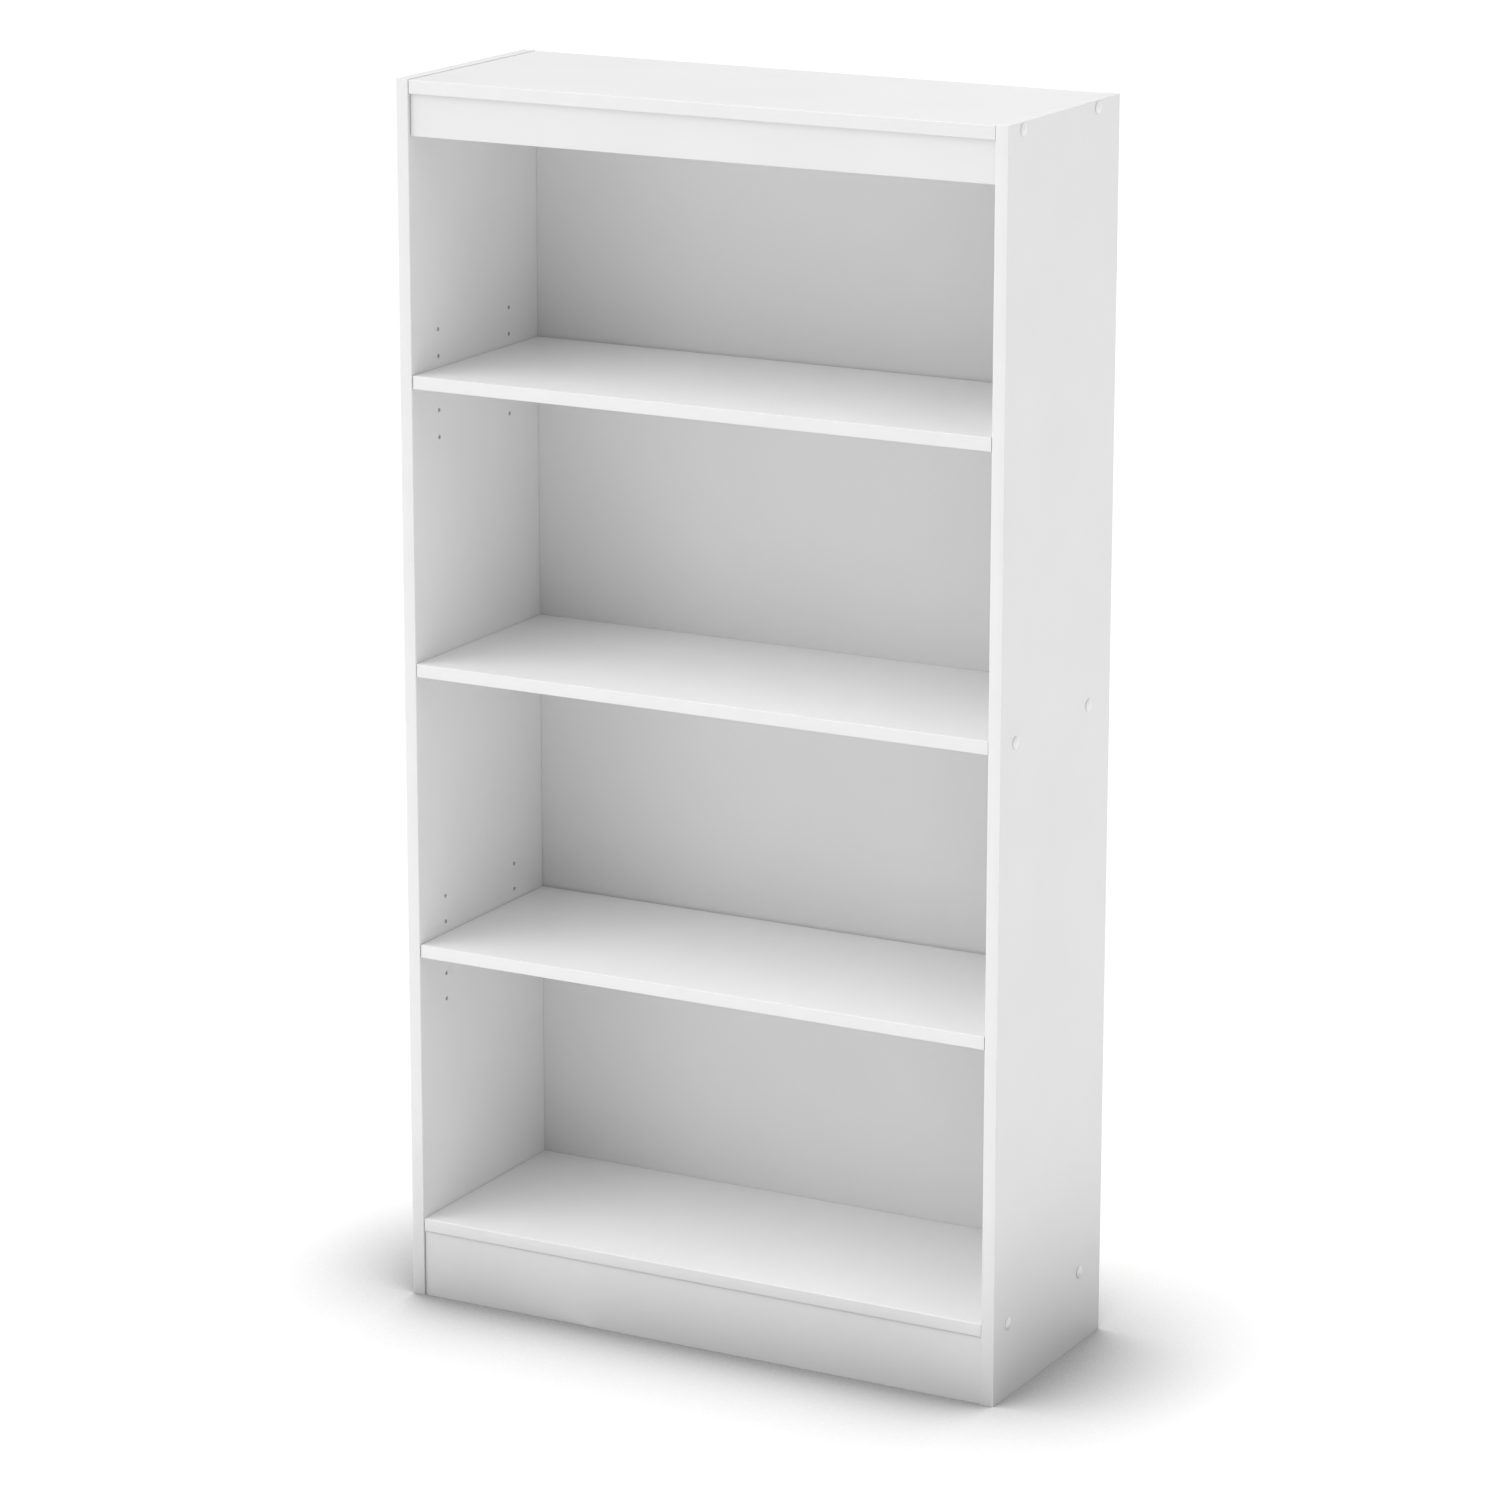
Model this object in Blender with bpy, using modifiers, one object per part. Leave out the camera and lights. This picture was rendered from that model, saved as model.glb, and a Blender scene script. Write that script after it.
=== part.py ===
"""White laminated bookcase: a case of edge-banded boards, two shelves that lift onto pins, a nailed
hardboard back, and the screws, cover caps, dowels and shelf pins that hold it together.

The frame is in metres with +Z up. The origin is on the floor, at the middle of the whole width and
depth. The open front faces -Y, and +X is on the right of someone facing the front.
"""

import math

import bmesh
import bpy
from mathutils import Matrix, Vector

MM = 0.001

# Driving dimensions of the case.
WIDTH = 777.0 * MM
SIDE_DEPTH = 287.0 * MM
BOARD = 15.9 * MM
PLINTH_HEIGHT = 81.5 * MM
CLEAR_HEIGHT = 327.6 * MM
RAIL_HEIGHT = 48.7 * MM
BACK_THICKNESS = 3.0 * MM
BACK_INSET = 2.5 * MM

# Clearances and setbacks.
GAP = 0.3 * MM
SHELF_END_GAP = 1.0 * MM
SHELF_BACK_GAP = 2.0 * MM
BOARD_SETBACK = 1.0 * MM
KICK_SETBACK = 2.5 * MM
RAIL_SETBACK = 4.6 * MM
TOP_STEP = 0.7 * MM

# Edges: the banded front edges are rounded, and the others are only broken.
EDGE_RADIUS = 1.5 * MM
BROKEN_EDGE_SHARE = 0.2
EDGE_SEGMENTS = 3

# Holes for the shelf pins, on a 32 mm grid.
PITCH = 32.0 * MM
HOLES_PER_COLUMN = 5
PIN_FRONT_COLUMN = 60.0 * MM
PIN_REAR_COLUMN = PIN_FRONT_COLUMN + 5 * PITCH
PIN_RADIUS = 2.5 * MM
PIN_LENGTH = 18.0 * MM
PIN_IN_HOLE = 9.5 * MM
PIN_CHAMFER = 0.4 * MM
PIN_HOLE_RADIUS = PIN_RADIUS + 0.2 * MM
PIN_HOLE_DEPTH = 10.0 * MM

# Screws through the sides into the ends of the fixed boards.
SCREW_FRONT_COLUMN = 37.0 * MM
SCREW_REAR_COLUMN = SCREW_FRONT_COLUMN + 6 * PITCH
SCREW_LENGTH = 50.0 * MM
SCREW_RADIUS = 3.5 * MM
SCREW_CORE_RADIUS = 2.4 * MM
SCREW_SHANK = 13.0 * MM
SCREW_RINGS = 4
SCREW_HEAD_RADIUS = 5.0 * MM
SCREW_HEAD_LENGTH = 3.0 * MM
SCREW_SINK = 0.6 * MM
SOCKET_ACROSS_FLATS = 4.0 * MM
SOCKET_DEPTH = 2.4 * MM

# Caps that cover the screw heads.
CAP_RADIUS = 7.25 * MM
CAP_HEIGHT = 2.3 * MM
CAP_RIM = 0.5 * MM
CAP_STEM_RADIUS = 1.7 * MM
CAP_STEM_LENGTH = 2.8 * MM
CAP_ARC_STEPS = 4

# Dowels at the ends of the rail and of the kick plate.
DOWEL_RADIUS = 4.0 * MM
DOWEL_LENGTH = 30.0 * MM
DOWEL_IN_SIDE = 11.0 * MM
DOWEL_CHAMFER = 1.0 * MM

# Facets round each turned piece or drilled hole.
TURNED_STEPS = 12
CAP_STEPS = 16
HOLE_STEPS = 12

# Places worked out from the driving dimensions.
DEPTH = SIDE_DEPTH + GAP + BACK_THICKNESS
FRONT = -DEPTH / 2
SIDE_REAR = FRONT + SIDE_DEPTH
HALF_WIDTH = WIDTH / 2
INNER = HALF_WIDTH - BOARD
BOTTOM_Z = PLINTH_HEIGHT
LOWER_Z = BOTTOM_Z + BOARD + CLEAR_HEIGHT
MIDDLE_Z = LOWER_Z + BOARD + CLEAR_HEIGHT
UPPER_Z = MIDDLE_Z + BOARD + CLEAR_HEIGHT
TOP_Z = UPPER_Z + BOARD + CLEAR_HEIGHT
HEIGHT = TOP_Z + BOARD + TOP_STEP
RAIL_TOP = TOP_Z - GAP
RAIL_BOTTOM = RAIL_TOP - RAIL_HEIGHT

SIDES = {"left": -1, "right": 1}
PIN_COLUMNS = {"front": FRONT + PIN_FRONT_COLUMN, "rear": FRONT + PIN_REAR_COLUMN}
SCREW_COLUMNS = {"front": FRONT + SCREW_FRONT_COLUMN, "rear": FRONT + SCREW_REAR_COLUMN}
ADJUSTABLE_SHELVES = {"upper": UPPER_Z, "lower": LOWER_Z}
SCREWED_BOARDS = {"top": TOP_Z, "middle": MIDDLE_Z, "bottom": BOTTOM_Z}
PIN_HEIGHTS = {name: z - GAP - PIN_RADIUS for name, z in ADJUSTABLE_SHELVES.items()}
SCREW_HEIGHTS = {name: z + BOARD / 2 for name, z in SCREWED_BOARDS.items()}
DOWEL_ROWS = {
    "rail": (FRONT + RAIL_SETBACK + BOARD / 2, RAIL_BOTTOM + RAIL_HEIGHT / 2, 11.0 * MM),
    "kick": (FRONT + KICK_SETBACK + BOARD / 2, PLINTH_HEIGHT / 2, 20.0 * MM),
}


# Scene and materials

def clear_scene():
    for item in list(bpy.data.objects):
        bpy.data.objects.remove(item, do_unlink=True)


def make_collection(name):
    collection = bpy.data.collections.new(name)
    bpy.context.scene.collection.children.link(collection)
    return collection


def make_material(name, colour, roughness, metallic=0.0):
    material = bpy.data.materials.new(name)
    material.use_nodes = True
    shader = material.node_tree.nodes["Principled BSDF"]
    shader.inputs["Base Color"].default_value = (*colour, 1.0)
    shader.inputs["Roughness"].default_value = roughness
    shader.inputs["Metallic"].default_value = metallic
    return material


def make_object(name, mesh, collection, parent=None):
    item = bpy.data.objects.new(name, mesh)
    collection.objects.link(item)
    item.parent = parent
    return item


def mesh_from(bm, name):
    mesh = bpy.data.meshes.new(name)
    bm.to_mesh(mesh)
    bm.free()
    return mesh


# Boards

def board(name, low, high, material, collection, parent):
    """A box between two corners, whose front edges are rounded and whose other edges are broken."""
    low = Vector(low)
    high = Vector(high)
    bm = bmesh.new()
    bmesh.ops.create_cube(bm, size=1.0, matrix=Matrix.Diagonal((*(high - low), 1.0)))
    weight = bm.edges.layers.float.new("bevel_weight_edge")
    for edge in bm.edges:
        at_front = all(vert.co.y < 0 for vert in edge.verts)
        edge[weight] = 1.0 if at_front else BROKEN_EDGE_SHARE
    item = make_object(name, mesh_from(bm, name), collection, parent)
    item.location = (low + high) / 2
    item.data.materials.append(material)
    bevel = item.modifiers.new("rounded_edges", "BEVEL")
    bevel.limit_method = "WEIGHT"
    bevel.width = EDGE_RADIUS
    bevel.segments = EDGE_SEGMENTS
    return item


def side_panel(name, sign, material, collection, parent):
    inner = sign * INNER
    outer = sign * HALF_WIDTH
    low = (min(inner, outer), FRONT, 0)
    high = (max(inner, outer), SIDE_REAR, HEIGHT)
    return board(name, low, high, material, collection, parent)


def fixed_board(name, z, material, collection, parent):
    """A board screwed between the sides, flush with their rear edges."""
    low = (-INNER + GAP, FRONT + BOARD_SETBACK, z)
    high = (INNER - GAP, SIDE_REAR, z + BOARD)
    return board(name, low, high, material, collection, parent)


def adjustable_shelf(name, z, material, collection, parent):
    """A board that rests on four pins, a little short of the sides and of the back."""
    low = (-INNER + SHELF_END_GAP, FRONT + BOARD_SETBACK, z)
    high = (INNER - SHELF_END_GAP, SIDE_REAR - SHELF_BACK_GAP, z + BOARD)
    return board(name, low, high, material, collection, parent)


def front_board(name, setback, bottom, top, material, collection, parent):
    """An upright board across the front: the rail under the top, or the kick plate."""
    low = (-INNER + GAP, FRONT + setback, bottom)
    high = (INNER - GAP, FRONT + setback + BOARD, top)
    return board(name, low, high, material, collection, parent)


def back_panel(material, collection, parent):
    """A hardboard sheet over the rear edges, from the bottom board to the top."""
    low = (-HALF_WIDTH + BACK_INSET, SIDE_REAR + GAP, BOTTOM_Z + BACK_INSET)
    high = (HALF_WIDTH - BACK_INSET, SIDE_REAR + GAP + BACK_THICKNESS, HEIGHT - BACK_INSET)
    bm = bmesh.new()
    bmesh.ops.create_cube(bm, size=1.0, matrix=Matrix.Diagonal((*(Vector(high) - Vector(low)), 1.0)))
    item = make_object("back_panel", mesh_from(bm, "back_panel"), collection, parent)
    item.location = (Vector(low) + Vector(high)) / 2
    item.data.materials.append(material)
    return item


# Drilled holes

def add_drill(bm, x_from, x_to, y, z, radius):
    """Adds a round cutter along X, from one x to another, to a bmesh."""
    centre = Matrix.Translation(((x_from + x_to) / 2, y, z))
    along_x = Matrix.Rotation(math.pi / 2, 4, "Y")
    bmesh.ops.create_cone(
        bm, cap_ends=True, segments=HOLE_STEPS, radius1=radius, radius2=radius,
        depth=abs(x_to - x_from), matrix=centre @ along_x)


def cutter(name, bm, collection):
    item = make_object(name, mesh_from(bm, name), collection)
    item.hide_render = True
    item.display_type = "WIRE"
    return item


def pin_hole_cutter(collection):
    """Two columns of blind holes in each side, centred on each adjustable shelf's pins."""
    bm = bmesh.new()
    for sign in SIDES.values():
        for y in PIN_COLUMNS.values():
            for middle in PIN_HEIGHTS.values():
                for step in range(HOLES_PER_COLUMN):
                    z = middle + (step - HOLES_PER_COLUMN // 2) * PITCH
                    start = sign * (INNER - PIN_HOLE_DEPTH)
                    end = sign * (INNER + PIN_HOLE_DEPTH)
                    add_drill(bm, start, end, y, z, PIN_HOLE_RADIUS)
    return cutter("pin_hole_cutter", bm, collection)


def screw_hole_cutter(name, depth, radius, collection):
    """A hole of the given depth for each screw, drilled from outside the sides."""
    bm = bmesh.new()
    for sign in SIDES.values():
        for y in SCREW_COLUMNS.values():
            for z in SCREW_HEIGHTS.values():
                add_drill(bm, sign * (HALF_WIDTH + BOARD), sign * (HALF_WIDTH - depth), y, z, radius)
    return cutter(name, bm, collection)


def dowel_places():
    """Yields each dowel's name, side sign, y and z."""
    for row, (y, middle, offset) in DOWEL_ROWS.items():
        for side, sign in SIDES.items():
            for level, up in (("upper", 1), ("lower", -1)):
                yield f"dowel_{row}_{side}_{level}", sign, y, middle + up * offset


def dowel_hole_cutter(collection):
    """One hole for each dowel, running from the side into the end of the rail or kick plate."""
    bm = bmesh.new()
    side_end = INNER + DOWEL_IN_SIDE + GAP
    board_end = side_end - DOWEL_LENGTH - 2 * GAP
    for _, sign, y, z in dowel_places():
        add_drill(bm, sign * side_end, sign * board_end, y, z, DOWEL_RADIUS + GAP)
    return cutter("dowel_hole_cutter", bm, collection)


def drill(item, *cutters):
    for tool in cutters:
        cut = item.modifiers.new(tool.name, "BOOLEAN")
        cut.operation = "DIFFERENCE"
        cut.solver = "EXACT"
        cut.object = tool


# Turned pieces: each profile is (radius, z) from the top on the axis, down the outside

def turned_mesh(name, profile, steps, collection, socket=None):
    """The mesh of a profile turned about Z, less an optional socket cutter."""
    bm = bmesh.new()
    verts = [bm.verts.new((radius, 0, z)) for radius, z in profile]
    for first, second in zip(verts, verts[1:]):
        bm.edges.new((first, second))
    source = make_object(name + "_profile", mesh_from(bm, name + "_profile"), collection)
    screw = source.modifiers.new("turned", "SCREW")
    screw.steps = steps
    screw.render_steps = steps
    screw.use_merge_vertices = True
    screw.merge_threshold = 0.01 * MM
    if socket:
        drill(source, socket)
    bpy.context.view_layer.update()
    evaluated = source.evaluated_get(bpy.context.evaluated_depsgraph_get())
    mesh = bpy.data.meshes.new_from_object(evaluated)
    mesh.name = name
    bpy.data.objects.remove(source, do_unlink=True)
    mesh.shade_smooth()
    mesh.set_sharp_from_angle(angle=math.radians(40))
    return mesh


def lay_along_x(item, sign, x, y, z):
    """Turns a piece made along Z so that its top faces outwards on its own side."""
    item.rotation_euler = (0, sign * math.pi / 2, 0)
    item.location = (sign * x, y, z)


def shelf_pin_mesh(collection):
    """A plain steel pin with chamfered ends."""
    outside = PIN_LENGTH - PIN_IN_HOLE
    profile = [
        (0, PIN_IN_HOLE),
        (PIN_RADIUS - PIN_CHAMFER, PIN_IN_HOLE),
        (PIN_RADIUS, PIN_IN_HOLE - PIN_CHAMFER),
        (PIN_RADIUS, PIN_CHAMFER - outside),
        (PIN_RADIUS - PIN_CHAMFER, -outside),
        (0, -outside),
    ]
    return turned_mesh("shelf_pin", profile, TURNED_STEPS, collection)


def screw_mesh(collection, cutters):
    """A flat-headed board screw: a socket head, a plain shank, and a coarse ringed thread."""
    bm = bmesh.new()
    bmesh.ops.create_cone(
        bm, cap_ends=True, segments=6, radius1=SOCKET_ACROSS_FLATS / math.sqrt(3),
        radius2=SOCKET_ACROSS_FLATS / math.sqrt(3), depth=2 * SOCKET_DEPTH)
    socket = cutter("socket_cutter", bm, cutters)
    thread_top = SCREW_HEAD_LENGTH + SCREW_SHANK
    tip = SCREW_RADIUS
    ring = (SCREW_LENGTH - thread_top - tip) / SCREW_RINGS
    profile = [
        (0, 0),
        (SCREW_HEAD_RADIUS, 0),
        (SCREW_HEAD_RADIUS, -SCREW_HEAD_LENGTH / 2),
        (SCREW_RADIUS, -SCREW_HEAD_LENGTH),
        (SCREW_RADIUS, -thread_top),
    ]
    for turn in range(SCREW_RINGS):
        root = thread_top + turn * ring
        profile.append((SCREW_CORE_RADIUS, -root - 0.1 * ring))
        profile.append((SCREW_RADIUS, -root - 0.8 * ring))
    profile.append((SCREW_CORE_RADIUS, -SCREW_LENGTH + tip))
    profile.append((0, -SCREW_LENGTH))
    return turned_mesh("screw", profile, TURNED_STEPS, collection, socket)


def cap_mesh(collection):
    """A low domed cover with a stem that presses into the screw's socket."""
    dome_height = CAP_HEIGHT - CAP_RIM
    dome_radius = (CAP_RADIUS ** 2 + dome_height ** 2) / (2 * dome_height)
    edge_angle = math.asin(CAP_RADIUS / dome_radius)
    profile = []
    for step in range(CAP_ARC_STEPS + 1):
        angle = step / CAP_ARC_STEPS * edge_angle
        profile.append((dome_radius * math.sin(angle), CAP_HEIGHT - dome_radius * (1 - math.cos(angle))))
    profile += [
        (CAP_RADIUS, 0),
        (CAP_STEM_RADIUS, 0),
        (CAP_STEM_RADIUS, -CAP_STEM_LENGTH),
        (0, -CAP_STEM_LENGTH),
    ]
    return turned_mesh("cap", profile, CAP_STEPS, collection)


def dowel_mesh(collection):
    profile = [
        (0, DOWEL_IN_SIDE),
        (DOWEL_RADIUS - DOWEL_CHAMFER, DOWEL_IN_SIDE),
        (DOWEL_RADIUS, DOWEL_IN_SIDE - DOWEL_CHAMFER),
        (DOWEL_RADIUS, DOWEL_IN_SIDE - DOWEL_LENGTH + DOWEL_CHAMFER),
        (DOWEL_RADIUS - DOWEL_CHAMFER, DOWEL_IN_SIDE - DOWEL_LENGTH),
        (0, DOWEL_IN_SIDE - DOWEL_LENGTH),
    ]
    return turned_mesh("dowel", profile, TURNED_STEPS, collection)


def add_shelf_pins(material, collection, parent):
    mesh = shelf_pin_mesh(collection)
    mesh.materials.append(material)
    for shelf, z in PIN_HEIGHTS.items():
        for side, sign in SIDES.items():
            for column, y in PIN_COLUMNS.items():
                pin = make_object(f"shelf_pin_{shelf}_{side}_{column}", mesh, collection, parent)
                lay_along_x(pin, sign, INNER, y, z)


def add_screws_and_caps(steel, plastic, collection, cutters, parent):
    screw = screw_mesh(collection, cutters)
    screw.materials.append(steel)
    cap = cap_mesh(collection)
    cap.materials.append(plastic)
    for board_name, z in SCREW_HEIGHTS.items():
        for side, sign in SIDES.items():
            for column, y in SCREW_COLUMNS.items():
                place = f"{board_name}_{side}_{column}"
                piece = make_object("screw_" + place, screw, collection, parent)
                lay_along_x(piece, sign, HALF_WIDTH - SCREW_SINK, y, z)
                cover = make_object("screw_cap_" + place, cap, collection, parent)
                lay_along_x(cover, sign, HALF_WIDTH + GAP, y, z)


def add_dowels(material, collection, parent):
    mesh = dowel_mesh(collection)
    mesh.materials.append(material)
    for name, sign, y, z in dowel_places():
        lay_along_x(make_object(name, mesh, collection, parent), sign, INNER, y, z)


def build():
    clear_scene()
    parts = make_collection("bookcase")
    cutters = make_collection("cutters")
    laminate = make_material("white_laminate", (0.86, 0.86, 0.87), 0.42)
    hardboard = make_material("white_hardboard", (0.82, 0.82, 0.83), 0.55)
    steel = make_material("zinc_steel", (0.62, 0.62, 0.60), 0.35, metallic=1.0)
    nickel = make_material("nickel_steel", (0.68, 0.67, 0.64), 0.28, metallic=1.0)
    plastic = make_material("white_cap_plastic", (0.88, 0.88, 0.88), 0.35)
    beech = make_material("beech", (0.62, 0.44, 0.27), 0.65)

    case = make_object("case", None, parts)
    left = side_panel("left_side", -1, laminate, parts, case)
    right = side_panel("right_side", 1, laminate, parts, case)
    top = fixed_board("top_panel", TOP_Z, laminate, parts, case)
    middle = fixed_board("middle_shelf", MIDDLE_Z, laminate, parts, case)
    bottom = fixed_board("bottom_panel", BOTTOM_Z, laminate, parts, case)
    adjustable_shelf("upper_shelf", UPPER_Z, laminate, parts, case)
    adjustable_shelf("lower_shelf", LOWER_Z, laminate, parts, case)
    rail = front_board("top_rail", RAIL_SETBACK, RAIL_BOTTOM, RAIL_TOP, laminate, parts, case)
    kick = front_board("kick_plate", KICK_SETBACK, 0, BOTTOM_Z - GAP, laminate, parts, case)
    back_panel(hardboard, parts, case)

    pin_holes = pin_hole_cutter(cutters)
    screw_depth = SCREW_SINK + SCREW_LENGTH + GAP
    head_depth = SCREW_SINK + SCREW_HEAD_LENGTH + GAP
    screw_holes = screw_hole_cutter("screw_hole_cutter", screw_depth, SCREW_RADIUS + GAP, cutters)
    head_holes = screw_hole_cutter("head_hole_cutter", head_depth, SCREW_HEAD_RADIUS + GAP, cutters)
    dowel_holes = dowel_hole_cutter(cutters)
    for side in (left, right):
        drill(side, pin_holes, screw_holes, head_holes, dowel_holes)
    for item in (top, middle, bottom):
        drill(item, screw_holes)
    for item in (rail, kick):
        drill(item, dowel_holes)

    add_shelf_pins(nickel, parts, case)
    add_screws_and_caps(steel, plastic, parts, cutters, case)
    add_dowels(beech, parts, case)


build()
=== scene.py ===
"""Looks of the white laminated bookcase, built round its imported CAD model.

Metres, +Z up, the open front faces -Y. Boards are particleboard cores with laminated faces and glued edge
bands; the pins, screws, caps, dowels and nails are made from their profiles. Everything is placed from the
frame's CAD nodes.
"""

import math

import bmesh
import bpy
from mathutils import Matrix, Vector


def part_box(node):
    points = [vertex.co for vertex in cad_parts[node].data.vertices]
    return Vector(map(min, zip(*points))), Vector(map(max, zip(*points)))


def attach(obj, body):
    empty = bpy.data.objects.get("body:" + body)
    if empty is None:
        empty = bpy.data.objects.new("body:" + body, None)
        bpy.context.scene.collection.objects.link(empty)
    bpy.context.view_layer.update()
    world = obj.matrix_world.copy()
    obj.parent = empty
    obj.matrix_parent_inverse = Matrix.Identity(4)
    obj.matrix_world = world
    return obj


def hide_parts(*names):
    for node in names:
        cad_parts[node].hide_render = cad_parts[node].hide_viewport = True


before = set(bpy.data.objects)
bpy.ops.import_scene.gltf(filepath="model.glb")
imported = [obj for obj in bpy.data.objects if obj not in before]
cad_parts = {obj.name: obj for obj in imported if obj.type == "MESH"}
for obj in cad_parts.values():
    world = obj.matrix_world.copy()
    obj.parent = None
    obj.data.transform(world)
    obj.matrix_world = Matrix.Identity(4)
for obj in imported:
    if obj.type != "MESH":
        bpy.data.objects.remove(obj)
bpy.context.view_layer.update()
MM = 0.001

# Camera: the photograph's viewing angle, in degrees. Its target is where its axis passes the object.
CAMERA_AZIMUTH = 28.36
CAMERA_ELEVATION = 14.07
CAMERA_ROLL = 0.06
CAMERA_DISTANCE = 6.379
CAMERA_TARGET = (-0.010, 0.0076, 0.7812)
CAMERA_LENS = 131.4
CAMERA_SHIFT_Y = -0.05
CAMERA_CLIP_END = 200.0

# Studio: soft round lights on a dome, as (azimuth, elevation, strength), azimuth 0 in front and 90 on the
# right, each fading with the cosine to the power DOME_FOCUS, and a weak ambient light.
DOME_LIGHTS = (
    (-90, 68, 2.00),
    (-45, 42, 3.00),
    (90, 42, 1.62),
    (180, 12, 1.35),
)
DOME_FOCUS = 8.0
BACKDROP_STRENGTH = 1.1
AMBIENT_LIGHT = 0.29
AMBIENT_REACH = 0.25

# The glowing table: its paper's greys, how bright it looks, and how bright it shines on the object. Its stops
# are (openness, brightness), where openness is how much of the sky over a point is free; they paint a shadow
# into the table's colour and glow round what stands on it.
TABLE_HALF_SIZE = 60.0
TABLE_GREYS = (0.115, 0.125)
TABLE_GLOW = 0.88
PAINTED_SHADOW_STOPS = ((0.5, 0.25), (1.0, 1.0))
PAINTED_SHADOW_SAMPLES = 8
# The table's glow onto the object, with painted shade in that glow where the object stands near it.
TABLE_BOUNCE = 1.04
BOUNCE_REACH = 0.5
PAINTED_BOUNCE_SHADE_STOPS = ((0.77, 0.0), (0.98, 1.0))
BOUNCE_SAMPLES = 4

# Mesh tolerances, and the angle between faces that stays sharp.
TOLERANCE = 0.01 * MM
MERGE_DISTANCE = 0.005 * MM
SHARP_ANGLE = 35

# A face faces along an axis if its normal's part along it is more than this.
FACING = 0.3

# A Mix node's sockets for colours: its two inputs and its result.
MIX_FIRST = 6
MIX_SECOND = 7
MIX_RESULT = 2

# Boards
FRONT_BAND = 1.5 * MM
FRONT_BAND_RADIUS = 1.0 * MM
THIN_BAND = 0.8 * MM
THIN_BAND_RADIUS = 0.3 * MM
BROKEN_EDGE = 0.35 * MM
GLUED_EDGE = 0.1 * MM
BAND_SEGMENTS = 6
BROKEN_SEGMENTS = 2
BAND_SHARP_ANGLE = 30
SEAM_WIDENING = 0.25 * MM
SIDES = ("left_side", "right_side")

# Holes
PITCH = 32.0 * MM
HOLES_EACH_WAY = 2
PIN_HOLE_RADIUS = 2.6 * MM
PIN_HOLE_DEPTH = 10.0 * MM
PIN_HOLE_MOUTH = 0.25 * MM
SCREW_HOLE_RADIUS = 3.75 * MM
HEAD_HOLE_RADIUS = 5.25 * MM
HEAD_HOLE_DEPTH = 3.9 * MM
DOWEL_HOLE_RADIUS = 4.25 * MM
HOLE_END_GAP = 0.3 * MM
DRILL_OVERRUN = 2.0 * MM
HOLE_STEPS = 32

# Back panel and its nails
NAIL_HEAD_PROUD = 0.3 * MM
NAIL_HEAD_RADIUS = 2.2 * MM
NAIL_HEAD_EDGE = 0.15 * MM
NAIL_SHANK_RADIUS = 0.7 * MM
NAIL_LENGTH = 20.0 * MM
NAIL_POINT = 2.0 * MM
NAIL_SPACING = 150.0 * MM
NAIL_END_MARGIN = 12.0 * MM
NAIL_BOARD_MARGIN = 20.0 * MM
NAIL_STEPS = 20
NAIL_ARC_STEPS = 3

# Screws
SCREW_RADIUS = 3.5 * MM
SCREW_CORE_RADIUS = 2.4 * MM
SCREW_HEAD_EDGE = 0.3 * MM
SCREW_HEAD_RIM = 1.5 * MM
SCREW_HEAD_LENGTH = 3.0 * MM
SCREW_SHANK = 13.0 * MM
SCREW_TIP = 3.5 * MM
THREAD_PITCH = 3.0 * MM
THREAD_TOOTH_SHARE = 0.45
LEVELS_PER_TURN = 10
SCREW_STEPS = 36
SOCKET_ACROSS_FLATS = 4.0 * MM
SOCKET_DEPTH = 2.4 * MM

# Caps, pins and dowels
CAP_STEM_RADIUS = 1.7 * MM
CAP_STEM_LENGTH = 2.8 * MM
CAP_STEM_CHAMFER = 0.4 * MM
CAP_RIM = 0.45 * MM
CAP_WALL = 0.8 * MM
CAP_HOLLOW = 0.4 * MM
CAP_ARC_STEPS = 14
CAP_STEPS = 48
PIN_ROUNDING = 0.5 * MM
PIN_ARC_STEPS = 6
PIN_STEPS = 40
DOWEL_CHAMFER = 1.0 * MM
DOWEL_FLUTES = 20
DOWEL_FLUTE_DEPTH = 0.3 * MM
STEPS_PER_FLUTE = 6


# Meshes

def new_object(name, mesh):
    item = bpy.data.objects.new(name, mesh)
    bpy.context.scene.collection.objects.link(item)
    return item


def mesh_from(bm, name):
    mesh = bpy.data.meshes.new(name)
    bm.to_mesh(mesh)
    bm.free()
    return mesh


def settle(item):
    """Replaces an object's mesh with what its modifiers make of it."""
    bpy.context.view_layer.update()
    evaluated = item.evaluated_get(bpy.context.evaluated_depsgraph_get())
    mesh = bpy.data.meshes.new_from_object(evaluated)
    item.modifiers.clear()
    item.data = mesh
    mesh.name = item.name


def smooth(item, sharp_angle=SHARP_ANGLE):
    item.data.shade_smooth()
    item.data.set_sharp_from_angle(angle=math.radians(sharp_angle))


def set_materials(item, *materials):
    item.data.materials.clear()
    for material in materials:
        item.data.materials.append(material)


def rounded_box(name, low, high, radius_of, widest, segments):
    """A box between two corners, each of its edges rounded by radius_of(edge), which is at most widest."""
    bm = bmesh.new()
    place = Matrix.Translation((low + high) / 2) @ Matrix.Diagonal((*(high - low), 1.0))
    bmesh.ops.create_cube(bm, size=1.0, matrix=place)
    weight = bm.edges.layers.float.new("bevel_weight_edge")
    for edge in bm.edges:
        edge[weight] = radius_of(edge) / widest
    item = new_object(name, mesh_from(bm, name))
    bevel = item.modifiers.new("rounding", "BEVEL")
    bevel.limit_method = "WEIGHT"
    bevel.width = widest
    bevel.segments = segments
    settle(item)
    return item


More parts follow.
